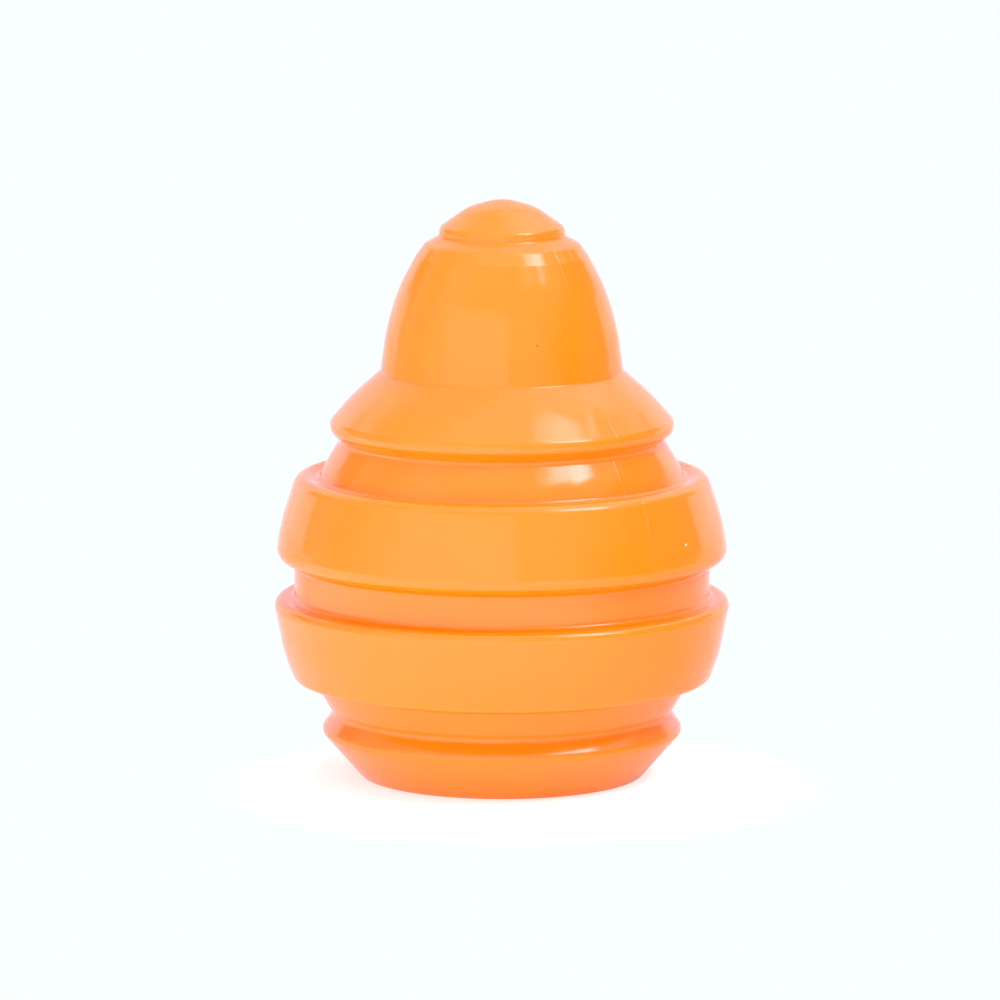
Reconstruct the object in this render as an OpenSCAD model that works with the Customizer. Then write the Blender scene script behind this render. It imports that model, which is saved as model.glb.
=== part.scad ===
// Rubber chew toy: a hollow moulding of stacked rings with a push-in squeaker in its base.
// The toy stands on z = 0, its rings turn about the Z axis and its front is at -Y.

/* [Main radii] */
// Radius of the widest ring, the lower band's top rim
band_r = 39.5; // [36:0.1:43]
// Radius of the foot's rim
foot_rim_r = 31.3; // [29:0.1:34]
// Radius of the flange's rim
flange_rim_r = 30.3; // [28:0.1:33]
// Radius at the bell's foot
bell_r = 20.9; // [19.5:0.1:22.5]
// Radius of the cap's side
cap_r = 10.8; // [10:0.1:12]

/* [Foot] */
// How far the foot flares out from the underside to its rim
foot_flare = 7.1; // [5.5:0.1:8]
// Height of the foot's rim above the floor
foot_rim_h = 8.1; // [7:0.1:10]
// Rounding between the underside and the foot's side
foot_edge_round = 1.5; // [0.5:0.1:2.5]
// Rounding of the foot's rim
foot_rim_round = 1.2; // [0.5:0.1:2]

/* [Waist] */
// Width of the ledge on top of the foot
waist_ledge_w = 2.1; // [1.2:0.1:3]
// Rise of the ledge from the foot's rim to the crease
waist_ledge_h = 3; // [2:0.1:4]
// Height of the waist above the crease
waist_h = 5.4; // [4.5:0.1:7]
// Rounding under the lower band
waist_top_round = 1.2; // [0.5:0.1:2]

/* [Lower band] */
// How far the band's bottom edge lies inside its top rim
lower_band_taper = 3.6; // [2.5:0.1:4.5]
// How far the band's bulge lies inside its top rim
lower_bulge_inset = 1.9; // [1.2:0.1:2.6]
// Height of the band from its bottom edge to its top rim
lower_band_h = 14.1; // [12:0.1:16]
// Height of the bulge above the band's bottom edge
lower_bulge_h = 4.5; // [3.5:0.1:6]
// Width of the band's underside, out from the waist
lower_band_under_w = 3.5; // [2.5:0.1:4.5]
// Rise of the band's underside
lower_band_under_h = 0.6; // [0.2:0.1:1.5]
// Rounding of the band's bottom edge
lower_band_bottom_round = 1.4; // [0.5:0.1:2.5]
// Rounding of the band's top rim
lower_band_top_round = 1.6; // [0.5:0.1:2.5]

/* [Neck] */
// Depth of the groove between the two bands, from the lower band's rim
neck_depth = 3.7; // [3:0.1:4.5]
// Height of the groove
neck_h = 5.9; // [4.5:0.1:7]

/* [Upper band] */
// How far the upper band's bottom edge lies inside the lower band's rim
upper_band_inset = 0.5; // [0.1:0.1:1.5]
// How far the upper band's bulge lies inside its bottom edge
upper_bulge_inset = 0.9; // [0.4:0.1:1.4]
// How far the upper band's top rim lies inside its bottom edge
upper_band_taper = 3.7; // [2.8:0.1:4.5]
// Height of the band from its bottom edge to its top rim
upper_band_h = 14.4; // [12:0.1:16]
// Height of the bulge above the band's bottom edge
upper_bulge_h = 5.9; // [4.5:0.1:7]
// Rise of the band's underside
upper_band_under_h = 1.3; // [0.6:0.1:2]
// Rounding of the band's bottom edge
upper_band_bottom_round = 3; // [1:0.1:4]
// Rounding of the band's top rim
upper_band_top_round = 2.3; // [1:0.1:3]

/* [Cone and flange] */
// Width of the shallow channel between the upper band's rim and the cone
channel_w = 3.7; // [2.5:0.1:4.5]
// Depth of the channel below the upper band's rim
channel_h = 1; // [0.3:0.1:1.5]
// Height of the cone's bulge above its foot
cone_bulge_h = 2.8; // [2:0.1:3.6]
// Height of the cone's top above its bulge
cone_top_h = 3.9; // [3:0.1:5]
// Where the bulge lies between the cone's foot and its top, as a share of the way in
cone_bulge_share = 0.35; // [0.3:0.01:0.4]
// How far the flange stands out past the cone's top
flange_overhang = 2.4; // [1.5:0.1:3.5]
// Height of the flange's underside, from the cone to the rim
flange_under_h = 2.5; // [1.5:0.1:3.5]
// Height from the flange's rim to the bulge of its top
flange_lower_h = 5.3; // [4:0.1:6]
// Height from that bulge to the bell
flange_upper_h = 4.1; // [3.5:0.1:5.5]
// Where the bulge lies between the bell's foot and the flange's rim, as a share of the way out
flange_bulge_share = 0.5; // [0.45:0.01:0.55]
// Rounding of the flange's rim
flange_rim_round = 2; // [1:0.1:3]

/* [Bell] */
// How far the bell's lower bulge lies inside its foot
bell_lower_inset = 1; // [0.5:0.1:1.5]
// How far the bell's upper bulge lies inside its foot
bell_upper_inset = 3; // [2.2:0.1:3.8]
// How far the edge of the bell's crown lies inside its foot
bell_edge_inset = 6.1; // [5:0.1:7]
// Width of the slope around the cap, from the cap's side to the shoulder
bell_slope_w = 2.5; // [1.8:0.1:3]
// Height of the lower bulge above the bell's foot
bell_lower_h = 7.1; // [6:0.1:8.5]
// Height of the upper bulge above the lower one
bell_upper_h = 7; // [6:0.1:8.5]
// Height of the crown's edge above the upper bulge
bell_crown_h = 5.8; // [5:0.1:7]
// Height of the shoulder above the crown's edge
bell_shoulder_h = 2.1; // [1.6:0.1:3]
// Rise of the slope up to the cap
bell_slope_h = 1.3; // [0.8:0.1:2]
// Rounding of the crown's edge
bell_edge_round = 0.6; // [0.3:0.1:1.2]
// Rounding of the shoulder
bell_shoulder_round = 1.7; // [1:0.1:2.4]

/* [Cap] */
// How far the dome's shoulder lies inside the cap's side
cap_dome_inset = 5; // [4:0.1:6]
// Height of the cap's side
cap_side_h = 1.5; // [0.8:0.1:2.5]
// Height from the cap's side to the dome's shoulder
cap_dome_h = 3.5; // [2.5:0.1:4.5]
// Height from there to the dome's peak, before the peak is rounded
cap_peak_h = 1.7; // [1:0.1:2.5]
// Rounding of the cap's rim
cap_rim_round = 1.4; // [0.5:0.1:2]
// Rounding of the dome's shoulder
cap_dome_round = 8.5; // [5:0.1:12]
// Rounding of the dome's peak
cap_peak_round = 9.7; // [6:0.1:14]

/* [Moulding] */
// Thickness of the rubber behind the grooves and creases, measured level
wall = 6; // [4.5:0.1:7]
// Rounding in the creases between the rings
crease_round = 0.9; // [0.4:0.1:1.5]
// Rounding along the gently bulging sides
bulge_round = 38; // [25:1:50]
// Rounding inside the hollow
cavity_round = 7; // [3:0.1:10]

/* [Squeaker seat] */
// How far the squeaker lies above the floor
seat_recess = 0.8; // [0.5:0.1:1.5]
// Thickness of the rubber lip that grips the squeaker
lip_t = 2.2; // [1.6:0.1:3]
// Chamfer around the mouth
mouth_chamfer = 0.8; // [0.4:0.1:1.2]
// Clearance around the squeaker in its seat
seat_gap = 0.1; // [0.05:0.01:0.2]
// Free space in the hollow around the squeaker's inner flange
flange_room = 3.8; // [2:0.1:4.5]

/* [Squeaker housing] */
// Radius of the barrel that the lip grips
barrel_r = 12; // [11:0.1:13]
// How far the outer flange stands out past the barrel
outer_flange_w = 3; // [2:0.1:4]
// How far the inner flange stands out past the barrel
inner_flange_w = 2.4; // [1.6:0.1:3]
// Thickness of each flange
flange_t = 1.4; // [1:0.1:2]
// Thickness of the barrel's side
barrel_wall = 1.5; // [1:0.1:2]
// Thickness of the housing's floor
floor_t = 1.6; // [1.2:0.1:2]
// Radius of the air hole in the floor
air_hole_r = 1; // [0.7:0.1:1.2]
// Radius of the shallow dish around the air hole
dish_r = 7.5; // [6:0.1:9]
// Depth of the dish
dish_h = 0.4; // [0.2:0.1:0.6]
// Height of the reed's socket above the floor
socket_h = 7.1; // [6:0.1:9]
// Thickness of the socket's side
socket_wall = 1.2; // [0.8:0.1:1.6]
// Chamfer of the housing's edges
housing_chamfer = 0.4; // [0.2:0.1:0.6]

/* [Squeaker cap] */
// Thickness of the cap
guard_t = 1; // [0.8:0.1:1.4]
// How far the cap's skirt reaches into the barrel
guard_skirt_h = 2; // [1.2:0.1:2.5]
// Width of the cap's rim, which rests on the barrel
guard_rim_w = 2.2; // [1.8:0.1:2.8]
// Free height over the reed pipe
guard_headroom = 2; // [1:0.1:4]
// Rounding of the cap's crown
guard_round = 4; // [2:0.1:6]
// Width of each vent slot
vent_w = 1.8; // [1.2:0.1:2.4]
// Plain band left below and above the vent slots
vent_margin = 3; // [1.5:0.1:4]
// Number of vent slots
vent_count = 8; // [5:1:10]
// Clearance of the cap in the barrel
guard_gap = 0.1; // [0.05:0.01:0.2]

/* [Reed] */
// Radius of the reed pipe
pipe_r = 3.6; // [3.3:0.1:4]
// Radius of the pipe's bore
pipe_bore_r = 1.3; // [1.1:0.1:1.4]
// Wall between the bore and the flat that the reed lies on
pipe_flat_wall = 0.6; // [0.5:0.05:0.7]
// Length of solid pipe past the reed's tip
pipe_end_h = 2; // [1.5:0.1:3]
// Edge left on each side of the sound window
window_edge = 0.3; // [0.2:0.05:0.4]
// Distance from the socket to the sound window, and from the window to the reed's tip
window_margin = 0.8; // [0.5:0.1:1.2]
// Clearance of the pipe and its wedge in the socket
socket_gap = 0.05; // [0.03:0.01:0.08]
// Thickness of the reed
reed_t = 0.3; // [0.2:0.05:0.4]
// Length of the reed's free tongue, past the socket
tongue_l = 8.3; // [6:0.1:10]
// Length of the reed's root, below its bending line
root_l = 1.3; // [1:0.1:1.4]
// Depth of the bending line below the socket's top
bend_depth = 1.1; // [0.8:0.1:1.3]
// Space on each side of the reed's root, which leaves room for it to swing
root_gap = 0.15; // [0.13:0.01:0.2]
// How far the tongue's tip stands off, beyond that space
tip_lift = 0.45; // [0.42:0.01:0.8]
// Space beside the reed at the socket's side
reed_side_gap = 0.7; // [0.5:0.1:0.9]

/* [Hidden] */
$fn = 96;

// How far a cut runs past the face that it opens
overrun = 1;
// Largest distance between a rounding and the short edges that draw it
curve_error = 0.02;
// Longest part of an edge that one rounding may take
edge_share = 0.49;
// Angle past which a corner counts as straight
straight_angle = 179.8;

// Radii of the rings. The waist and the cone lead from one ring to the next.
foot_bottom_r = foot_rim_r - foot_flare;
waist_r = foot_rim_r - waist_ledge_w;
lower_band_r = band_r - lower_band_taper;
lower_bulge_r = band_r - lower_bulge_inset;
waist_top_r = lower_band_r - lower_band_under_w;
neck_r = band_r - neck_depth;
upper_band_r = band_r - upper_band_inset;
upper_bulge_r = upper_band_r - upper_bulge_inset;
upper_rim_r = upper_band_r - upper_band_taper;
cone_r = upper_rim_r - channel_w;
cone_top_r = flange_rim_r - flange_overhang;
cone_bulge_r = cone_r - cone_bulge_share * (cone_r - cone_top_r);
flange_bulge_r = bell_r + flange_bulge_share * (flange_rim_r - bell_r);
bell_lower_r = bell_r - bell_lower_inset;
bell_upper_r = bell_r - bell_upper_inset;
bell_edge_r = bell_r - bell_edge_inset;
shoulder_r = cap_r + bell_slope_w;
cap_dome_r = cap_r - cap_dome_inset;

// Heights of the rings above the floor, from the foot up
waist_z = foot_rim_h + waist_ledge_h;
waist_top_z = waist_z + waist_h;
lower_band_z = waist_top_z + lower_band_under_h;
lower_bulge_z = lower_band_z + lower_bulge_h;
neck_z = lower_band_z + lower_band_h;
neck_top_z = neck_z + neck_h;
upper_band_z = neck_top_z + upper_band_under_h;
upper_bulge_z = upper_band_z + upper_bulge_h;
upper_rim_z = upper_band_z + upper_band_h;
cone_z = upper_rim_z - channel_h;
cone_bulge_z = cone_z + cone_bulge_h;
cone_top_z = cone_bulge_z + cone_top_h;
flange_rim_z = cone_top_z + flange_under_h;
flange_bulge_z = flange_rim_z + flange_lower_h;
bell_z = flange_bulge_z + flange_upper_h;
bell_lower_z = bell_z + bell_lower_h;
bell_upper_z = bell_lower_z + bell_upper_h;
bell_edge_z = bell_upper_z + bell_crown_h;
shoulder_z = bell_edge_z + bell_shoulder_h;
cap_z = shoulder_z + bell_slope_h;
cap_rim_z = cap_z + cap_side_h;
cap_dome_z = cap_rim_z + cap_dome_h;
cap_peak_z = cap_dome_z + cap_peak_h;

// Squeaker seat: two flanges of the housing hold the rubber lip between them
outer_flange_r = barrel_r + outer_flange_w;
inner_flange_r = barrel_r + inner_flange_w;
lip_z = seat_recess + flange_t;
lip_top_z = lip_z + lip_t;
barrel_top_z = lip_top_z + flange_t;
barrel_bore_r = barrel_r - barrel_wall;
floor_top_z = seat_recess + floor_t;
mouth_r = outer_flange_r + seat_gap;
hollow_floor_r = inner_flange_r + flange_room;

// Reed: a flat-sided pipe and a wedge fill the round socket, with the reed's root between them
socket_top_z = floor_top_z + socket_h;
socket_bore_r = pipe_r + socket_gap;
flat_y = pipe_bore_r + pipe_flat_wall;
reed_y = flat_y + root_gap + reed_t / 2;
wedge_y = flat_y + reed_t + 2 * root_gap;
reed_w = 2 * (sqrt(pow(pipe_r, 2) - pow(wedge_y, 2)) - reed_side_gap);
bend_z = socket_top_z - bend_depth;
tip_z = socket_top_z + tongue_l;
pipe_top_z = tip_z + pipe_end_h;
window_w = 2 * (pipe_bore_r - window_edge);
window_z = socket_top_z + window_margin;
window_top_z = tip_z - window_margin;

// Squeaker cap: a vented dome over the reed pipe
guard_skirt_r = barrel_bore_r - guard_gap;
guard_rim_r = guard_skirt_r + guard_rim_w;
guard_top_z = pipe_top_z + guard_headroom + guard_t;
vent_z = barrel_top_z + guard_t + vent_margin;
vent_top_z = guard_top_z - guard_round - vent_margin;

// Corners of the toy's outside as [radius, height, rounding]. The last corner mirrors the one before
// the peak, so that the peak is rounded across the axis.
outside = [
    [0, 0, 0],
    [foot_bottom_r, 0, foot_edge_round],
    [foot_rim_r, foot_rim_h, foot_rim_round],
    [waist_r, waist_z, crease_round],
    [waist_top_r, waist_top_z, waist_top_round],
    [lower_band_r, lower_band_z, lower_band_bottom_round],
    [lower_bulge_r, lower_bulge_z, bulge_round],
    [band_r, neck_z, lower_band_top_round],
    [neck_r, neck_z, crease_round],
    [neck_r, neck_top_z, crease_round],
    [upper_band_r, upper_band_z, upper_band_bottom_round],
    [upper_bulge_r, upper_bulge_z, bulge_round],
    [upper_rim_r, upper_rim_z, upper_band_top_round],
    [cone_r, cone_z, crease_round],
    [cone_bulge_r, cone_bulge_z, bulge_round],
    [cone_top_r, cone_top_z, crease_round],
    [flange_rim_r, flange_rim_z, flange_rim_round],
    [flange_bulge_r, flange_bulge_z, bulge_round],
    [bell_r, bell_z, crease_round],
    [bell_lower_r, bell_lower_z, bulge_round],
    [bell_upper_r, bell_upper_z, bulge_round],
    [bell_edge_r, bell_edge_z, bell_edge_round],
    [shoulder_r, shoulder_z, bell_shoulder_round],
    [cap_r, cap_z, crease_round],
    [cap_r, cap_rim_z, cap_rim_round],
    [cap_dome_r, cap_dome_z, cap_dome_round],
    [0, cap_peak_z, cap_peak_round],
    [-cap_dome_r, cap_dome_z, 0]
];

// Corners of the hollow, a wall's thickness behind the outside's narrowest places
hollow = [
    [0, lip_top_z, 0],
    [hollow_floor_r, lip_top_z, crease_round],
    [waist_r - wall, waist_z, cavity_round],
    [neck_r - wall, lower_bulge_z, cavity_round],
    [neck_r - wall, neck_top_z, cavity_round],
    [cone_r - wall, cone_z, cavity_round],
    [cone_top_r - wall, cone_top_z, cavity_round],
    [bell_r - wall, bell_z, cavity_round],
    [bell_lower_r - wall, bell_lower_z, cavity_round],
    [shoulder_r - wall, cap_z - wall, cavity_round],
    [0, cap_rim_z - wall, cavity_round],
    [wall - shoulder_r, cap_z - wall, 0]
];

// The mouth's outline: a seat for the outer flange below the lip, and the barrel's bore through it
mouth = [
    [0, -overrun],
    [mouth_r + mouth_chamfer + overrun, -overrun],
    [mouth_r, mouth_chamfer],
    [mouth_r, lip_z],
    [barrel_r + seat_gap, lip_z],
    [barrel_r + seat_gap, lip_top_z + overrun],
    [0, lip_top_z + overrun]
];

// The housing's outline, a spool with an open top and a dished floor
spool = [
    [air_hole_r, seat_recess + dish_h],
    [dish_r - dish_h, seat_recess + dish_h],
    [dish_r, seat_recess],
    [outer_flange_r - housing_chamfer, seat_recess],
    [outer_flange_r, seat_recess + housing_chamfer],
    [outer_flange_r, lip_z],
    [barrel_r, lip_z],
    [barrel_r, lip_top_z],
    [inner_flange_r, lip_top_z],
    [inner_flange_r, barrel_top_z - housing_chamfer],
    [inner_flange_r - housing_chamfer, barrel_top_z],
    [barrel_bore_r, barrel_top_z],
    [barrel_bore_r, floor_top_z],
    [socket_bore_r + socket_wall, floor_top_z],
    [socket_bore_r + socket_wall, socket_top_z],
    [socket_bore_r, socket_top_z],
    [socket_bore_r, floor_top_z],
    [air_hole_r, floor_top_z]
];

// The squeaker cap's outside and inside
guard_outside = [
    [0, barrel_top_z - guard_skirt_h, 0],
    [guard_skirt_r, barrel_top_z - guard_skirt_h, 0],
    [guard_skirt_r, barrel_top_z, 0],
    [guard_rim_r, barrel_top_z, 0],
    [guard_rim_r, barrel_top_z + guard_t, 0],
    [guard_skirt_r, barrel_top_z + guard_t, 0],
    [guard_skirt_r, guard_top_z, guard_round],
    [0, guard_top_z, 0]
];
guard_inside = [
    [0, barrel_top_z - guard_skirt_h - overrun, 0],
    [guard_skirt_r - guard_t, barrel_top_z - guard_skirt_h - overrun, 0],
    [guard_skirt_r - guard_t, guard_top_z - guard_t, guard_round - guard_t],
    [0, guard_top_z - guard_t, 0]
];

// The reed's side view as [y, z]: a straight root in the slot, then a tongue that leans off the flat
reed_side = [
    [-reed_y + reed_t / 2, bend_z - root_l],
    [-reed_y + reed_t / 2, socket_top_z],
    [-reed_y + reed_t / 2 - tip_lift, tip_z],
    [-reed_y - reed_t / 2 - tip_lift, tip_z],
    [-reed_y - reed_t / 2, socket_top_z],
    [-reed_y - reed_t / 2, bend_z - root_l]
];

function place(corner) = [corner[0], corner[1]];
function unit(v) = v / norm(v);

// How many short edges draw a rounding of radius r that turns through an angle
function arc_steps(r, turn) = max(2, ceil(turn / (2 * acos(max(0, 1 - curve_error / r)))));

// The points of one corner: a tangent arc, or the corner itself where it is plain or straight
function corner_points(corners, i) =
    let (
        here = place(corners[i]),
        inner = i > 0 && i < len(corners) - 1 && corners[i][2] > 0
    )
    !inner ? [here] :
    let (
        back = place(corners[i - 1]) - here,
        ahead = place(corners[i + 1]) - here,
        opening = acos(unit(back) * unit(ahead))
    )
    opening > straight_angle ? [here] :
    let (
        room = edge_share * min(norm(back), norm(ahead)),
        reach = min(corners[i][2] / tan(opening / 2), room),
        r = reach * tan(opening / 2),
        centre = here + unit(unit(back) + unit(ahead)) * reach / cos(opening / 2),
        from = here + unit(back) * reach - centre,
        start = atan2(from[1], from[0]),
        turn = sign(cross(ahead, back)) * (180 - opening),
        steps = arc_steps(r, abs(turn))
    )
    [for (s = [0:steps]) centre + r * [cos(start + turn * s / steps), sin(start + turn * s / steps)]];

// An outline with all its corners rounded
function rounded(corners) = [for (i = [0:len(corners) - 1]) each corner_points(corners, i)];

// The half of an outline that lies at positive radius
module half_outline(points) {
    intersection() {
        polygon(points);
        translate([0, -overrun])
            square([2 * band_r, cap_peak_z + 2 * overrun]);
    }
}

// The whole outside of the toy in one moulding, with its hollow and the squeaker's seat
module rubber_body() {
    color("orange")
        rotate_extrude()
            difference() {
                half_outline(rounded(outside));
                half_outline(rounded(hollow));
                polygon(mouth);
            }
}

// Spool that snaps into the lip, with a socket for the reed and an air hole below it
module squeaker_housing() {
    color("ivory")
        rotate_extrude()
            polygon(spool);
}

// Vented dome that keeps the hollow's walls off the reed when the toy is squeezed
module squeaker_cap() {
    color("ivory")
        difference() {
            rotate_extrude()
                difference() {
                    polygon(rounded(guard_outside));
                    polygon(rounded(guard_inside));
                }
            for (k = [0:vent_count - 1])
                rotate([0, 0, 360 * k / vent_count])
                    translate([0, -vent_w / 2, vent_z])
                        cube([guard_skirt_r + overrun, vent_w, vent_top_z - vent_z]);
        }
}

// A slab that covers everything in front of a plane at -Y, for flats and wedges
module front_slab(depth, bottom_z, top_z) {
    translate([-pipe_r - overrun, -pipe_r - overrun, bottom_z])
        cube([2 * (pipe_r + overrun), pipe_r + overrun - depth, top_z - bottom_z]);
}

// Flat-sided tube whose sound window the reed opens and closes
module reed_pipe() {
    color("ivory")
        difference() {
            translate([0, 0, floor_top_z])
                cylinder(h = pipe_top_z - floor_top_z, r = pipe_r);
            front_slab(flat_y, floor_top_z - overrun, pipe_top_z + overrun);
            translate([0, 0, floor_top_z - overrun])
                cylinder(h = window_top_z - floor_top_z + overrun, r = pipe_bore_r);
            translate([-window_w / 2, -pipe_r, window_z])
                cube([window_w, pipe_r, window_top_z - window_z]);
        }
}

// Segment that closes the socket in front of the reed's root
module reed_wedge() {
    color("ivory")
        intersection() {
            translate([0, 0, floor_top_z])
                cylinder(h = socket_h, r = pipe_r);
            front_slab(wedge_y, floor_top_z, socket_top_z);
        }
}

// Thin tongue that beats on the pipe's flat
module reed() {
    color("lightgrey")
        translate([-reed_w / 2, 0, 0])
            rotate([90, 0, 90])
                linear_extrude(reed_w)
                    polygon(reed_side);
}

rubber_body();
squeaker_housing();
squeaker_cap();
reed_pipe();
reed_wedge();
reed();
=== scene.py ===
"""Looks of the rubber chew toy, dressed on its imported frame. Lengths are in metres, with +Z up and
the front at -Y. Outlines and the seams' sizes are in millimetres, and are turned into metres where
a piece is made."""

import math

import bpy
import numpy as np
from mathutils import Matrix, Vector


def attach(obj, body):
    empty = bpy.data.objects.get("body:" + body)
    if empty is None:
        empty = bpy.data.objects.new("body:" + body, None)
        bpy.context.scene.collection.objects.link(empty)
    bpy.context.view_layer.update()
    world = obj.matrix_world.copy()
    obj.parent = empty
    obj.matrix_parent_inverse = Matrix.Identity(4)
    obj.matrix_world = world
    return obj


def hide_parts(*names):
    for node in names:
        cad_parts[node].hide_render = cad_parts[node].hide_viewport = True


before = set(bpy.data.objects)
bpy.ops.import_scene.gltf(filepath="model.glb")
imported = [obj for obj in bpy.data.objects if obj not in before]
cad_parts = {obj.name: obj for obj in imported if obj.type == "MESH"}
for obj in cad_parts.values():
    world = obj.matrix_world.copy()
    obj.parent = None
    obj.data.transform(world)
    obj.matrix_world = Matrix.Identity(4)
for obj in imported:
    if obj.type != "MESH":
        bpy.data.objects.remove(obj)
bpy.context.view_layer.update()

MM = 0.001

# The moulding's corners as (radius, height, rounding), the same as the solid's: up the outside,
# over the peak, and down the hollow to the mouth. Only the peak is 0.04 lower, so that it stays
# under the solid's facets
MOULDING = [
    (15.9, 0.0, 0.25),  # mouth
    (24.2, 0.0, 1.5),  # foot
    (31.3, 8.1, 1.2),
    (29.2, 11.1, 0.9),  # waist
    (32.4, 16.5, 1.2),
    (35.9, 17.1, 1.4),  # lower band
    (37.6, 21.6, 38.0),
    (39.5, 31.2, 1.6),
    (35.8, 31.2, 0.9),  # neck
    (35.8, 37.1, 0.9),
    (39.0, 38.4, 3.0),  # upper band
    (38.1, 44.3, 38.0),
    (35.3, 52.8, 2.3),
    (31.6, 51.8, 0.9),  # cone
    (30.3, 54.6, 38.0),
    (27.9, 58.5, 0.9),
    (30.3, 61.0, 2.0),  # flange
    (25.6, 66.3, 38.0),
    (20.9, 70.4, 0.9),  # bell
    (19.9, 77.5, 38.0),
    (17.9, 84.5, 38.0),
    (14.8, 90.3, 0.6),
    (13.3, 92.4, 1.7),
    (10.8, 93.7, 0.9),  # cap
    (10.8, 95.2, 1.4),
    (5.8, 98.7, 8.5),
    (0.0, 100.36, 9.7),
    (-5.8, 98.7, 0.0),  # past the axis, so that the peak is rounded
    (-7.3, 87.7, 0.0),
    (0.0, 89.2, 7.0),  # hollow
    (7.3, 87.7, 7.0),
    (13.9, 77.5, 7.0),
    (14.9, 70.4, 7.0),
    (21.9, 58.5, 7.0),
    (25.6, 51.8, 7.0),
    (29.8, 37.1, 7.0),
    (29.8, 21.6, 7.0),
    (23.2, 11.1, 7.0),
    (18.2, 4.4, 0.9),
    (12.1, 4.4, 0.2),  # lip
    (12.1, 2.2, 0.2),
    (15.1, 2.2, 0.2),
    (15.1, 0.8, 0.25),
]
# How many of these corners, counted from the first, are on the outside
SHOWN = 28

# The squeaker housing's corners: its dished floor, two flanges and barrel, then the reed's socket
SPOOL = [
    (1.0, 2.4, 0.1),
    (1.0, 1.2, 0.15),
    (7.1, 1.2, 0.2),
    (7.5, 0.8, 0.25),
    (14.6, 0.8, 0.3),
    (15.0, 1.2, 0.3),
    (15.0, 2.2, 0.1),
    (12.0, 2.2, 0.1),
    (12.0, 4.4, 0.1),
    (14.4, 4.4, 0.1),
    (14.4, 5.4, 0.25),
    (14.0, 5.8, 0.25),
    (10.5, 5.8, 0.1),
    (10.5, 2.4, 0.3),
    (4.85, 2.4, 0.3),
    (4.85, 9.5, 0.15),
    (3.65, 9.5, 0.1),
    (3.65, 2.4, 0.1),
]
SPOOL_COLUMNS = 180

# The widest gap between points on a straight edge, and the gap beside an arc
MOULDING_GAP, MOULDING_GUARD = 1.3, 0.15
SPOOL_GAP, SPOOL_GUARD = 3.0, 0.1
# Gaps on hidden edges are wider by this factor, and edges shorter than this many guards stay bare
HIDDEN_SPREAD = 4
BARE_GUARDS = 3
# Steps of an arc on the outside, and of a hidden one
SHOWN_STEPS, HIDDEN_STEPS = 6, 4
# The largest share of an edge that one arc takes up
ARC_SHARE = 0.49
# Half the opening of a corner that is too flat to round
FLAT = math.radians(89.9)

# The mould's two parting lines, as an angle from the front towards the right
SEAM = math.radians(42.2)
SEAM_WIDTH = 0.17
SEAM_HEIGHT = 0.09
# Distances of the mesh's columns from a seam, which they keep down to a least radius
SEAM_COLUMNS = (0, 0.04, 0.08, 0.12, 0.17, 0.3, 0.7)
SEAM_LEAST_RADIUS = 4.0
# Columns from the last of these at one seam to the last at the other
COLUMNS_BETWEEN = 112
# Heights at which the seam stands out, each with the half length of that stretch
SEAM_PROUD = [
    (89.0, 3.2),
    (62.6, 1.6),
    (56.2, 2.4),
    (52.6, 0.8),
    (48.5, 3.0),
    (25.0, 4.0),
    (4.0, 2.5),
]
# The share of its height that the seam has elsewhere
SEAM_FAINT = 0.3

# Slow waves of the wall as (height, waves in a turn, their phase, radians for each millimetre
# upwards, their phase)
WAVES = [
    (0.020, 2, 0.5, 0.11, 0.0),
    (0.012, 5, 1.3, 0.23, 0.8),
    (0.007, 9, 2.1, 0.41, 2.0),
]
# The outside is drawn in by this much, so that the waves stay inside the solid
WAVE_INSET = 0.03
# The radius on the crown from which the waves and the seam rise, and the width over which they do
CROWN_RADIUS, CROWN_FADE = 6, 4
# Points nearer to the axis than the first radius give way to a pole, and those within the second
# lie on the axis
POLE_RADIUS, ON_AXIS = 0.3, 1e-6

# Spots on the rubber as (angle from the front in degrees, radius, height, size, and 1 for a pale
# or 0 for a dark one). The two dark ones at -107 and 107 degrees, on the upper band's ledge at
# either side, are painted shade
MARKS_AND_PAINTED_SHADE = [
    (55.2, 38.1, 43.6, 0.25, 1.0),
    (17.6, 20.0, 77.4, 0.28, 0.0),
    (-107.0, 33.6, 52.3, 0.35, 0.0),
    (107.0, 33.6, 52.3, 0.35, 0.0),
]


def corner_arc(before, here, after, steps):
    """Points of the tangent arc at one corner. It starts and ends at rounding / tan(half the
    opening) from the corner, or at ARC_SHARE of the shorter edge, and its centre lies on the line
    that halves the opening."""
    here, rounding = np.array(here[:2]), here[2]
    back, ahead = np.array(before[:2]) - here, np.array(after[:2]) - here
    room = ARC_SHARE * min(np.linalg.norm(back), np.linalg.norm(ahead))
    back, ahead = back / np.linalg.norm(back), ahead / np.linalg.norm(ahead)
    half = np.arccos(np.clip(back @ ahead, -1, 1)) / 2
    if rounding == 0 or half > FLAT:
        return here[None]
    reach = min(rounding / np.tan(half), room)
    radius = reach * np.tan(half)
    middle = (back + ahead) / np.linalg.norm(back + ahead)
    centre = here + middle * reach / np.cos(half)
    start = here + back * reach - centre
    turn = np.sign(ahead[0] * back[1] - ahead[1] * back[0]) * (np.pi - 2 * half)
    swing = np.arctan2(start[1], start[0]) + turn * np.linspace(0, 1, steps + 1)
    return centre + radius * np.stack([np.cos(swing), np.sin(swing)], 1)


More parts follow.
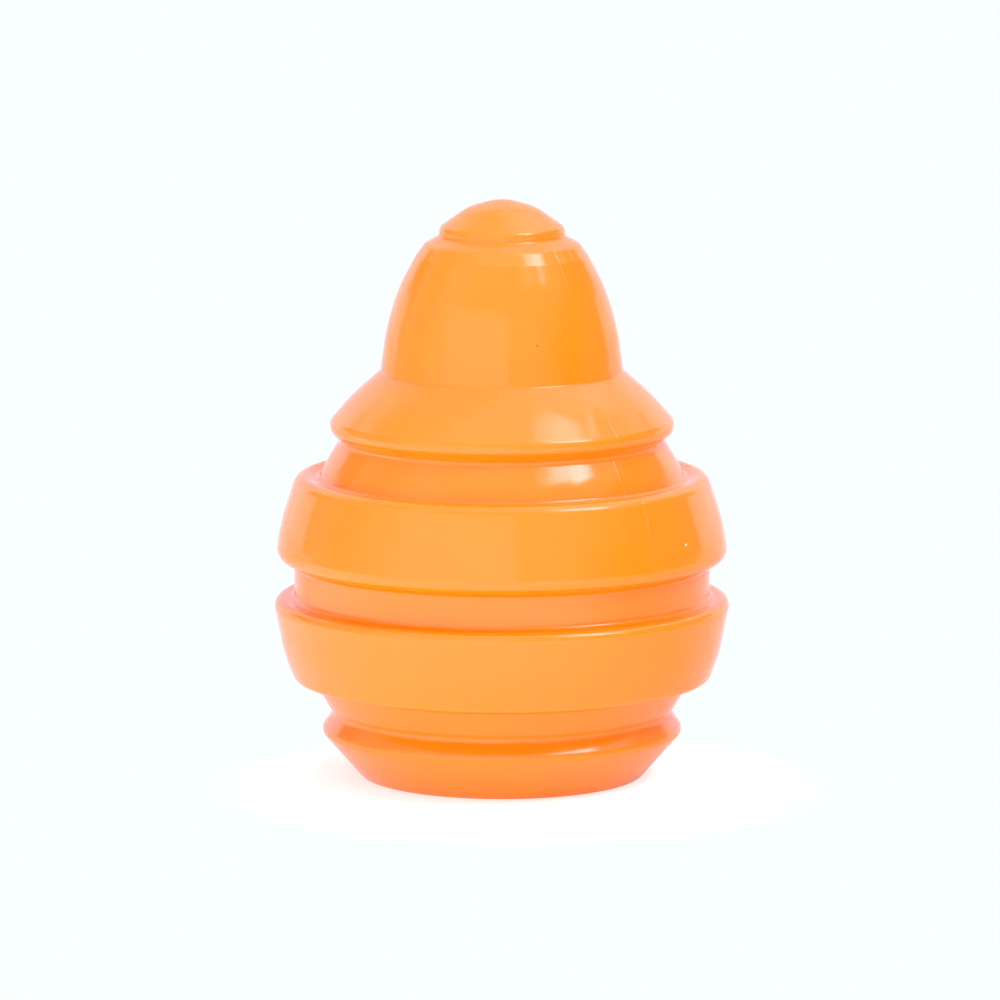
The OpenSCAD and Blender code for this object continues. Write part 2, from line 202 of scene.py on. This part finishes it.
def outline(corners, shown, gap, guard):
    """Points along the rounded, closed line of corners. Each straight edge between two arcs is
    filled evenly, with one point close to each end, so that shading stays flat up to the arc. The
    corners after the first shown ones are hidden and get fewer points."""
    count = len(corners)
    arcs = []
    for i in range(count):
        steps = SHOWN_STEPS if i < shown else HIDDEN_STEPS
        arcs.append(corner_arc(corners[i - 1], corners[i], corners[(i + 1) % count], steps))
    points = []
    for i, arc in enumerate(arcs):
        points.append(arc)
        a, b = arc[-1], arcs[(i + 1) % count][0]
        length = np.linalg.norm(b - a)
        step = gap if i < shown else HIDDEN_SPREAD * gap
        if length > BARE_GUARDS * guard:
            number = max(2, math.ceil(length / step) + 1)
            inner = np.linspace(guard, length - guard, number)
            points.append(a + (b - a) * (inner / length)[:, None])
    return np.concatenate(points)


def ring_angles(radius, between):
    """Angles of one turn from the seam, for each ring. Beside both seams the columns keep their
    distances in millimetres, whatever the ring's radius, and the others are spread evenly from one
    seam to the other."""
    near = np.array(SEAM_COLUMNS)[None] / np.maximum(radius, SEAM_LEAST_RADIUS)[:, None]
    share = (np.arange(between) + 1) / (between + 1)
    middle = near[:, -1:] + share[None] * (np.pi - 2 * near[:, -1:])
    half = np.concatenate([near, middle, np.pi - near[:, :0:-1]], 1)
    return np.concatenate([half, half + np.pi], 1)


def ring_quads(lower, upper, columns):
    """One row of quads from each lower ring to its upper ring. Ring n holds the vertices from
    n * columns on."""
    j = np.arange(columns)
    k = (j + 1) % columns
    low, high = lower[:, None] * columns, upper[:, None] * columns
    return np.stack([low + j, low + k, high + k, high + j], 2).reshape(-1, 4).tolist()


def pole_fan(ring, pole, columns, upwards):
    """Triangles from a ring to its pole. The pole comes after the ring on an outline that runs
    upwards to it, and before the ring on one that runs away from it."""
    j = np.arange(columns)
    k = (j + 1) % columns
    base = ring * columns
    first, second = (base + j, base + k) if upwards else (base + k, base + j)
    return np.stack([first, second, np.full(columns, pole)], 1).tolist()


def add_piece(name, points, faces, body, material):
    """A smooth mesh piece in metres, at the origin, on its body and with its material."""
    mesh = bpy.data.meshes.new(name)
    mesh.from_pydata(np.asarray(points) * MM, [], faces)
    mesh.validate()
    mesh.polygons.foreach_set("use_smooth", np.ones(len(mesh.polygons), bool))
    mesh.update()
    piece = bpy.data.objects.new(name, mesh)
    bpy.context.scene.collection.objects.link(piece)
    mesh.materials.append(material)
    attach(piece, body)
    return piece


def rubber_skin(material):
    """The whole moulding as one turned surface. Radius = outline + slow waves of the soft wall + a
    raised line along both seams. A wave is its height times a cosine round the turn times a cosine
    up the wall. The seam's height is half a cosine across its width, and along it rises as an arch
    in the places where it stands out."""
    profile = outline(MOULDING, SHOWN, MOULDING_GAP, MOULDING_GUARD)
    on_axis = profile[np.abs(profile[:, 0]) < ON_AXIS]
    kept = profile[:, 0] > POLE_RADIUS
    split = int(np.argmin(kept))
    profile = profile[kept]
    radius, height = profile.T
    angle = ring_angles(radius, COLUMNS_BETWEEN)
    rings, columns = angle.shape
    outside = (np.arange(rings) < split) & (height > 0)
    fade = np.where(outside, np.clip((radius - CROWN_RADIUS) / CROWN_FADE, 0, 1), 0)[:, None]

    side = np.minimum(angle % np.pi, np.pi - angle % np.pi) * radius[:, None]
    places = np.array(SEAM_PROUD)
    stretch = np.clip(1 - ((height[:, None] - places[:, 0]) / places[:, 1]) ** 2, 0, 1)
    swell = SEAM_FAINT + (1 - SEAM_FAINT) * stretch.max(1)
    across = 0.5 * (1 + np.cos(np.pi * np.clip(side / SEAM_WIDTH, 0, 1)))
    line = SEAM_HEIGHT * swell[:, None] * across

    turn = angle + SEAM
    up = height[:, None]
    waves = sum(
        tall * np.cos(count * turn + phase) * np.cos(up * rate + start)
        for tall, count, phase, rate, start in WAVES
    )
    reach = radius[:, None] + fade * (line + waves - WAVE_INSET)
    level = np.broadcast_to(up, turn.shape)
    ring = np.stack([reach * np.sin(turn), -reach * np.cos(turn), level], 2)
    poles = [[0, 0, on_axis[0, 1]], [0, 0, on_axis[1, 1]]]
    points = np.concatenate([ring.reshape(-1, 3), poles])

    lower = np.delete(np.arange(rings), split - 1)
    faces = ring_quads(lower, (lower + 1) % rings, columns)
    faces += pole_fan(split - 1, rings * columns, columns, True)
    faces += pole_fan(split, rings * columns + 1, columns, False)
    skin = add_piece("rubber_skin", points, faces, "toy", material)
    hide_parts("rubber_body")


def spool_shell(material):
    """The squeaker's housing as one turned, closed outline with softened edges."""
    profile = outline(SPOOL, len(SPOOL), SPOOL_GAP, SPOOL_GUARD)
    angle = np.linspace(0, 2 * np.pi, SPOOL_COLUMNS, endpoint=False)[None]
    r, z = profile[:, :1], profile[:, 1:]
    ring = np.stack([r * np.sin(angle), -r * np.cos(angle), z + 0 * angle], 2)
    rings = len(profile)
    lower = np.arange(rings)
    faces = ring_quads(lower, (lower + 1) % rings, SPOOL_COLUMNS)
    points = ring.reshape(-1, 3)
    shell = add_piece("squeaker_spool", points, faces, "toy", material)
    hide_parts("squeaker_housing")


def group_tree(name, inputs, outputs):
    """An empty shader node group with named inputs (name, kind, value) and outputs (name, kind)."""
    tree = bpy.data.node_groups.new(name, "ShaderNodeTree")
    for label, kind, value in inputs:
        kind = "NodeSocket" + kind
        socket = tree.interface.new_socket(label, in_out="INPUT", socket_type=kind)
        if value is not None:
            socket.default_value = value
    for label, kind in outputs:
        tree.interface.new_socket(label, in_out="OUTPUT", socket_type="NodeSocket" + kind)
    return tree, tree.nodes.new("NodeGroupInput"), tree.nodes.new("NodeGroupOutput")


def feed(tree, socket, value):
    """Links an output to the socket, or sets the socket to a plain value."""
    if isinstance(value, bpy.types.NodeSocket):
        tree.links.new(value, socket)
    else:
        socket.default_value = value


def node(tree, kind, settings=None, **values):
    """A node with settings, and values or links for its inputs by name. Underscores stand for
    spaces, and i with a number for an input by its place."""
    made = tree.nodes.new(kind)
    for key, value in (settings or {}).items():
        setattr(made, key, value)
    for key, value in values.items():
        by_place = key[0] == "i" and key[1:].isdigit()
        feed(tree, made.inputs[int(key[1:]) if by_place else key.replace("_", " ")], value)
    return made


def calc(tree, operation, *values):
    """The output of a Math node."""
    places = {f"i{n}": value for n, value in enumerate(values)}
    return node(tree, "ShaderNodeMath", {"operation": operation}, **places).outputs[0]


def vector_calc(tree, operation, output, a, b):
    """The named output of a Vector Math node."""
    made = node(tree, "ShaderNodeVectorMath", {"operation": operation}, i0=a, i1=b)
    return made.outputs[output]


def spread(tree, value, start, end, low, high, kind="LINEAR"):
    """The value as it runs from start to end, carried over to the range from low to high."""
    ends = {"i1": start, "i2": end, "i3": low, "i4": high}
    made = node(tree, "ShaderNodeMapRange", {"interpolation_type": kind}, Value=value, **ends)
    return made.outputs[0]


def noise(tree, place, scale, **values):
    """Soft noise from about 0.3 to 0.7."""
    return node(tree, "ShaderNodeTexNoise", Vector=place, Scale=scale, **values).outputs["Fac"]


def place_group(tree, group, **values):
    """A group node with values or links for its named inputs."""
    return node(tree, "ShaderNodeGroup", {"node_tree": group}, **values)


def mixed(tree, factor, a, b):
    """The colour between a and b by factor."""
    made = node(tree, "ShaderNodeMix", {"data_type": "RGBA"}, Factor=factor)
    for socket, value in zip([s for s in made.inputs if s.type == "RGBA"], (a, b)):
        feed(tree, socket, value)
    return next(s for s in made.outputs if s.type == "RGBA")


def mixed_value(tree, factor, a, b):
    """The number between a and b by factor."""
    made = node(tree, "ShaderNodeMix", {"data_type": "FLOAT"}, i0=factor, i2=a, i3=b)
    return made.outputs[0]


def mixed_shader(tree, factor, a, b):
    """The shader between a and b by factor."""
    return node(tree, "ShaderNodeMixShader", i0=factor, i1=a, i2=b).outputs[0]


def moulded_grain():
    """Group: a fine uneven grain of a moulded surface. Mask runs from 0 to 1, and Normal carries
    the relief."""
    tree, ins, outs = group_tree(
        "moulded_grain",
        [("Scale", "Float", 900.0), ("Relief", "Float", 0.00001), ("Vector", "Vector", None)],
        [("Mask", "Float"), ("Normal", "Vector")],
    )
    place, scale = ins.outputs["Vector"], ins.outputs["Scale"]
    fine = noise(tree, place, scale, Detail=3.0, Roughness=0.6)
    relief = ins.outputs["Relief"]
    bump = node(tree, "ShaderNodeBump", Height=fine, Distance=relief, Strength=1.0)
    tree.links.new(fine, outs.inputs["Mask"])
    tree.links.new(bump.outputs["Normal"], outs.inputs["Normal"])
    return tree


def dust_specks():
    """Group: sparse tiny specks. Each cell of a lattice may hold one speck, and only the few cells
    whose random value is above Rarity do."""
    sizes = [("Scale", "Float", 250.0), ("Size", "Float", 0.08), ("Rarity", "Float", 0.97)]
    tree, ins, outs = group_tree(
        "dust_specks", [*sizes, ("Vector", "Vector", None)], [("Mask", "Float")]
    )
    place, scale = ins.outputs["Vector"], ins.outputs["Scale"]
    cells = node(tree, "ShaderNodeTexVoronoi", Vector=place, Scale=scale)
    chosen = node(tree, "ShaderNodeSeparateColor", Color=cells.outputs["Color"]).outputs["Red"]
    keep = calc(tree, "GREATER_THAN", chosen, ins.outputs["Rarity"])
    dot = calc(tree, "LESS_THAN", cells.outputs["Distance"], ins.outputs["Size"])
    tree.links.new(calc(tree, "MULTIPLY", keep, dot), outs.inputs["Mask"])
    return tree


def soft_window():
    """Group: 1 where Value lies between Low and High, falling smoothly to 0 over Softness at both
    ends."""
    ends = [("Low", "Float", 0.0), ("High", "Float", 1.0), ("Softness", "Float", 0.1)]
    tree, ins, outs = group_tree(
        "soft_window", [("Value", "Float", 0.0), *ends], [("Mask", "Float")]
    )
    value, low, high, soft = (ins.outputs[n] for n in ("Value", "Low", "High", "Softness"))
    start, full = calc(tree, "SUBTRACT", low, soft), calc(tree, "ADD", low, soft)
    rise = spread(tree, value, start, full, 0.0, 1.0, "SMOOTHSTEP")
    last, end = calc(tree, "SUBTRACT", high, soft), calc(tree, "ADD", high, soft)
    fall = spread(tree, value, last, end, 1.0, 0.0, "SMOOTHSTEP")
    tree.links.new(calc(tree, "MULTIPLY", rise, fall), outs.inputs["Mask"])
    return tree


GRAIN = moulded_grain()
DUST = dust_specks()
# The middle range of a noise, over which a gloss runs from its low to its high roughness
NOISE_LOW, NOISE_HIGH = 0.3, 0.7

ORANGE_DEEP, ORANGE_CLEAR = (0.95, 0.242, 0.002, 1), (0.95, 0.26, 0.004, 1)
ORANGE_DUST_PALE, ORANGE_DUST_DARK = (1.0, 0.72, 0.42, 1), (0.25, 0.05, 0.01, 1)
# The dark colour serves one speck on the bell and two spots of painted shade on the upper band's
# ledge
SPECK_PALE, DARK_MARK_AND_SHADE = (1.0, 0.8, 0.55, 1), (0.3, 0.07, 0.01, 1)
# Where the dark dust's lattice lies from the pale dust's, so that the two don't meet
DUST_SHIFT = (0.013, 0.007, 0.031)

PLASTIC_DEEP, PLASTIC_PALE = (0.80, 0.76, 0.66, 1), (0.86, 0.83, 0.75, 1)
PLASTIC_DUST = (0.35, 0.3, 0.24, 1)

FILM_DEEP, FILM_PALE = (0.72, 0.76, 0.8, 1), (0.86, 0.88, 0.9, 1)
# Scales of the film's streaks, which are long along the tongue
FILM_STREAKS = (3000.0, 3000.0, 120.0)


def new_material(name):
    """A material with its Principled shader, and Object coordinates to build on."""
    material = bpy.data.materials.new(name)
    material.use_nodes = True
    tree = material.node_tree
    shader = tree.nodes["Principled BSDF"]
    place = tree.nodes.new("ShaderNodeTexCoord").outputs["Object"]
    return material, tree, shader, place


def dusted(tree, place, tone, dust, strength, **values):
    """The tone with specks of the dust's colour over it."""
    specks = place_group(tree, DUST, Vector=place, **values).outputs["Mask"]
    return mixed(tree, calc(tree, "MULTIPLY", specks, strength), tone, dust)


def milky(shader, weight, radius, scale):
    """Lets light into the surface. The radius is the reach of red, green and blue for a scale."""
    shader.inputs["Subsurface Weight"].default_value = weight
    shader.inputs["Subsurface Radius"].default_value = radius
    shader.inputs["Subsurface Scale"].default_value = scale


def orange_rubber():
    """Glossy moulded rubber: a clear orange that drifts a little in depth, a few pale and dark
    specks, two dark spots of painted shade on the upper band's ledge at its sides, and a gloss that
    varies softly from place to place."""
    material, tree, shader, place = new_material("orange_rubber")
    drift = noise(tree, place, 38.0, Detail=2.0)
    tone = mixed(tree, drift, ORANGE_DEEP, ORANGE_CLEAR)
    few = {"Rarity": 0.985}
    tone = dusted(tree, place, tone, ORANGE_DUST_PALE, 0.7, Scale=170.0, Size=0.045, **few)
    moved = vector_calc(tree, "ADD", "Vector", place, DUST_SHIFT)
    tone = dusted(tree, moved, tone, ORANGE_DUST_DARK, 0.6, Scale=150.0, Size=0.035, **few)
    # Spots at listed places; the dark pair on the ledge at either side is painted shade
    for turn, radius, height, size, light in MARKS_AND_PAINTED_SHADE:
        turn = math.radians(turn)
        spot = (radius * MM * math.sin(turn), -radius * MM * math.cos(turn), height * MM)
        away = vector_calc(tree, "DISTANCE", "Value", place, spot)
        inside = calc(tree, "LESS_THAN", away, size * MM)
        tone = mixed(tree, inside, tone, SPECK_PALE if light else DARK_MARK_AND_SHADE)
    tree.links.new(tone, shader.inputs["Base Color"])
    grain = place_group(tree, GRAIN, Vector=place, Scale=420.0, Relief=0.000004)
    gloss = spread(tree, drift, NOISE_LOW, NOISE_HIGH, 0.08, 0.12)
    tree.links.new(gloss, shader.inputs["Roughness"])
    tree.links.new(grain.outputs["Normal"], shader.inputs["Normal"])
    shader.inputs["IOR"].default_value = 1.5
    milky(shader, 0.3, (1.0, 0.35, 0.1), 0.003)
    return material


def squeaker_plastic():
    """Natural moulded plastic: warm white, slightly milky, with a fine grain."""
    material, tree, shader, place = new_material("squeaker_plastic")
    drift = noise(tree, place, 120.0, Detail=2.0)
    tone = mixed(tree, drift, PLASTIC_DEEP, PLASTIC_PALE)
    tone = dusted(tree, place, tone, PLASTIC_DUST, 0.5, Scale=700.0, Size=0.1, Rarity=0.96)
    tree.links.new(tone, shader.inputs["Base Color"])
    grain = place_group(tree, GRAIN, Vector=place, Scale=2600.0, Relief=0.00002)
    gloss = spread(tree, grain.outputs["Mask"], NOISE_LOW, NOISE_HIGH, 0.34, 0.46)
    tree.links.new(gloss, shader.inputs["Roughness"])
    tree.links.new(grain.outputs["Normal"], shader.inputs["Normal"])
    milky(shader, 0.25, (1.0, 0.8, 0.6), 0.001)
    return material


def reed_film():
    """Thin glossy film with faint rolling streaks along the tongue."""
    material, tree, shader, place = new_material("reed_film")
    stretched = node(tree, "ShaderNodeMapping", Vector=place, Scale=FILM_STREAKS).outputs[0]
    streak = noise(tree, stretched, 1.0, Detail=2.0)
    tree.links.new(mixed(tree, streak, FILM_DEEP, FILM_PALE), shader.inputs["Base Color"])
    gloss = spread(tree, streak, NOISE_LOW, NOISE_HIGH, 0.12, 0.22)
    tree.links.new(gloss, shader.inputs["Roughness"])
    return material


# The colour that the camera sees behind the toy, the place from which the floor's distance counts,
# and the distances over which the floor takes this colour on, first fast and then ever slower
FIELD = (0.955, 1.0, 1.0, 1.0)
FIELD_CENTRE = (0.003, -0.012, 0.0)
FIELD_NEAR, FIELD_FAR = 0.04, 0.056
FIELD_EASE = 3.0

# The tint of the studio light, which gives the pink cast of the gloss
LIGHT = (1.0, 0.83, 1.0, 1.0)

FLOOR_COLOUR = (0.6, 0.67, 0.62, 1)
FLOOR_HALF_SIDE = 4.0
# The floor's own glow for the camera, and for the toy over a stretch towards the left front
FLOOR_SEEN = 0.55
FLOOR_SLOPE = (-0.5, -0.87, 0.0)
SLOPE_START, SLOPE_END = -0.03, 0.1
GLOW_START, GLOW_END = 0.04, 1.2


def floor_material():
    """Pale matt floor, which gives the toy more light towards the left front. Away from the toy
    the camera sees the plain field instead, and from below nothing."""
    material, tree, shader, place = new_material("pale_floor")
    shader.inputs["Base Color"].default_value = FLOOR_COLOUR
    shader.inputs["Roughness"].default_value = 0.9
    shader.inputs["Specular IOR Level"].default_value = 0.0
    seen = node(tree, "ShaderNodeLightPath").outputs["Is Camera Ray"]
    tree.links.new(mixed(tree, seen, LIGHT, (1, 1, 1, 1)), shader.inputs["Emission Color"])
    across = vector_calc(tree, "DOT_PRODUCT", "Value", place, FLOOR_SLOPE)
    slope = spread(tree, across, SLOPE_START, SLOPE_END, GLOW_START, GLOW_END)
    glow = mixed_value(tree, seen, slope, FLOOR_SEEN)
    tree.links.new(glow, shader.inputs["Emission Strength"])
    beside = vector_calc(tree, "DISTANCE", "Value", place, FIELD_CENTRE)
    close = spread(tree, beside, FIELD_NEAR, FIELD_FAR, 1.0, 0.0)
    far = calc(tree, "SUBTRACT", 1.0, calc(tree, "POWER", close, FIELD_EASE))
    plain = node(tree, "ShaderNodeEmission", Color=FIELD).outputs[0]
    look = mixed_shader(tree, calc(tree, "MULTIPLY", far, seen), shader.outputs[0], plain)
    clear = tree.nodes.new("ShaderNodeBsdfTransparent").outputs[0]
    back = node(tree, "ShaderNodeNewGeometry").outputs["Backfacing"]
    both = mixed_shader(tree, back, look, clear)
    tree.links.new(both, tree.nodes["Material Output"].inputs["Surface"])
    return material


# Soft studio light by direction, in degrees. Each panel is (left, right, softness of its sides,
# bottom, top, softness of these, brightness). Left and right are angles from the front towards the
# right, and bottom and top are angles above level. A panel covers those before it, and one that
# reaches past the sky's end has no edge there
ROUND_ABOUT = [
    (-400, 400, 1, 25, 400, 18, 1.2),  # upper part of the room
    (-122, -60, 8, -100, 52, 10, 0.85),  # room on the left
    (80, 126, 7, -100, 42, 5, 0.4),  # shade on the right
    (0, 45, 32, -100, 30, 6, 1.35),  # fill on the right
    (-78, -46, 16, -100, 50, 10, 1.5),  # glow beside the left panel
    (-58, 7, 3, -100, 30, 4, 1.95),  # left panel
]
# Panels on both sides: left and right are angles from the front towards either side
BEHIND = [
    (124, 400, 2, -100, 45, 10, 1.4),  # sweep behind the toy
    (158, 400, 10, -100, 30, 8, 1.1),  # its far middle
    (118, 139, 3, 12, 27, 4, 0.4),  # shade at its edges
]
ABOVE = [
    (-400, 400, 1, 62, 400, 10, 1.3),  # whole ceiling
    (-70, 400, 25, 56, 400, 8, 1.9),  # its brighter part
    (98, 150, 14, 40, 80, 8, 2.2),  # glow on the right
    (47, 91, 8, 52, 70, 8, 6.0),  # softbox
    (45, 110, 20, 46.5, 53, 2, 12.5),  # its low edge
    (58, 110, 5, 42.8, 47, 2, 14.5),  # its right foot
    (48, 79, 7, 50, 57, 3, 11),  # its core
    (79, 122, 5, 34, 53, 3, 1.3),  # where it ends
]
# Brightness where no panel is
ROOM = 0.24


def studio_world():
    """World light as soft-edged panels by direction, and a plain pale field for the camera."""
    world = bpy.data.worlds.new("studio")
    bpy.context.scene.world = world
    world.use_nodes = True
    tree = world.node_tree
    tree.nodes.clear()
    direction = tree.nodes.new("ShaderNodeTexCoord").outputs["Generated"]
    right, away, up = node(tree, "ShaderNodeSeparateXYZ", Vector=direction).outputs
    front = calc(tree, "MULTIPLY", away, -1.0)
    azimuth = calc(tree, "DEGREES", calc(tree, "ARCTAN2", right, front))
    elevation = calc(tree, "DEGREES", calc(tree, "ARCSINE", up))
    either = calc(tree, "ABSOLUTE", azimuth)
    window = soft_window()

    def masked(value, low, high, soft):
        """The mask of one window."""
        made = place_group(tree, window, Value=value, Low=low, High=high, Softness=soft)
        return made.outputs[0]

    total = ROOM
    for panels, turn in ((ROUND_ABOUT, azimuth), (BEHIND, either), (ABOVE, azimuth)):
        for panel in panels:
            *sides, side_soft, bottom, top, end_soft, bright = map(float, panel)
            across = masked(turn, *sides, side_soft)
            upwards = masked(elevation, bottom, top, end_soft)
            total = mixed_value(tree, calc(tree, "MULTIPLY", across, upwards), total, bright)
    light = node(tree, "ShaderNodeBackground", Color=LIGHT, Strength=total).outputs[0]
    field = node(tree, "ShaderNodeBackground", Color=FIELD, Strength=1.0).outputs[0]
    seen = node(tree, "ShaderNodeLightPath").outputs["Is Camera Ray"]
    both = mixed_shader(tree, seen, light, field)
    out = tree.nodes.new("ShaderNodeOutputWorld")
    tree.links.new(both, out.inputs["Surface"])


def pale_floor():
    """A large level sheet that the toy stands on."""
    mesh = bpy.data.meshes.new("pale_floor")
    r = FLOOR_HALF_SIDE
    mesh.from_pydata([(-r, -r, 0), (r, -r, 0), (r, r, 0), (-r, r, 0)], [], [(0, 1, 2, 3)])
    mesh.materials.append(floor_material())
    floor = bpy.data.objects.new("pale_floor", mesh)
    bpy.context.scene.collection.objects.link(floor)


# The camera's angle above level in radians, its distance from the point that it looks at, and that
# point, then its lens, sensor and sideways shift
CAMERA_TILT, CAMERA_DISTANCE = 0.1586, 1.5207
CAMERA_TARGET = Vector((0, 0, 0.04785))
CAMERA_LENS, CAMERA_SENSOR, CAMERA_SHIFT = 318.01, 36.0, -0.00185
CAMERA_CLIP = (0.05, 20.0)


def camera():
    """The photograph's view: from the front, 9.1 degrees above level, about one and a half metres
    away."""
    data = bpy.data.cameras.new("camera")
    data.sensor_width = CAMERA_SENSOR
    data.lens = CAMERA_LENS
    data.shift_x = CAMERA_SHIFT
    data.clip_start, data.clip_end = CAMERA_CLIP
    eye = bpy.data.objects.new("camera", data)
    bpy.context.scene.collection.objects.link(eye)
    back = Vector((0, -math.cos(CAMERA_TILT), math.sin(CAMERA_TILT)))
    eye.location = CAMERA_TARGET + back * CAMERA_DISTANCE
    eye.rotation_mode = "QUATERNION"
    eye.rotation_quaternion = (-back).to_track_quat("-Z", "Y")
    bpy.context.scene.camera = eye


bpy.context.scene.view_settings.view_transform = "Standard"
camera()
studio_world()
pale_floor()

plastic = squeaker_plastic()
film = reed_film()
rubber_skin(orange_rubber())
spool_shell(plastic)
for name in ("rubber_body", "squeaker_housing", "squeaker_cap", "reed_pipe", "reed_wedge", "reed"):
    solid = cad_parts[name]
    solid.data.materials.clear()
    solid.data.materials.append(film if name == "reed" else plastic)
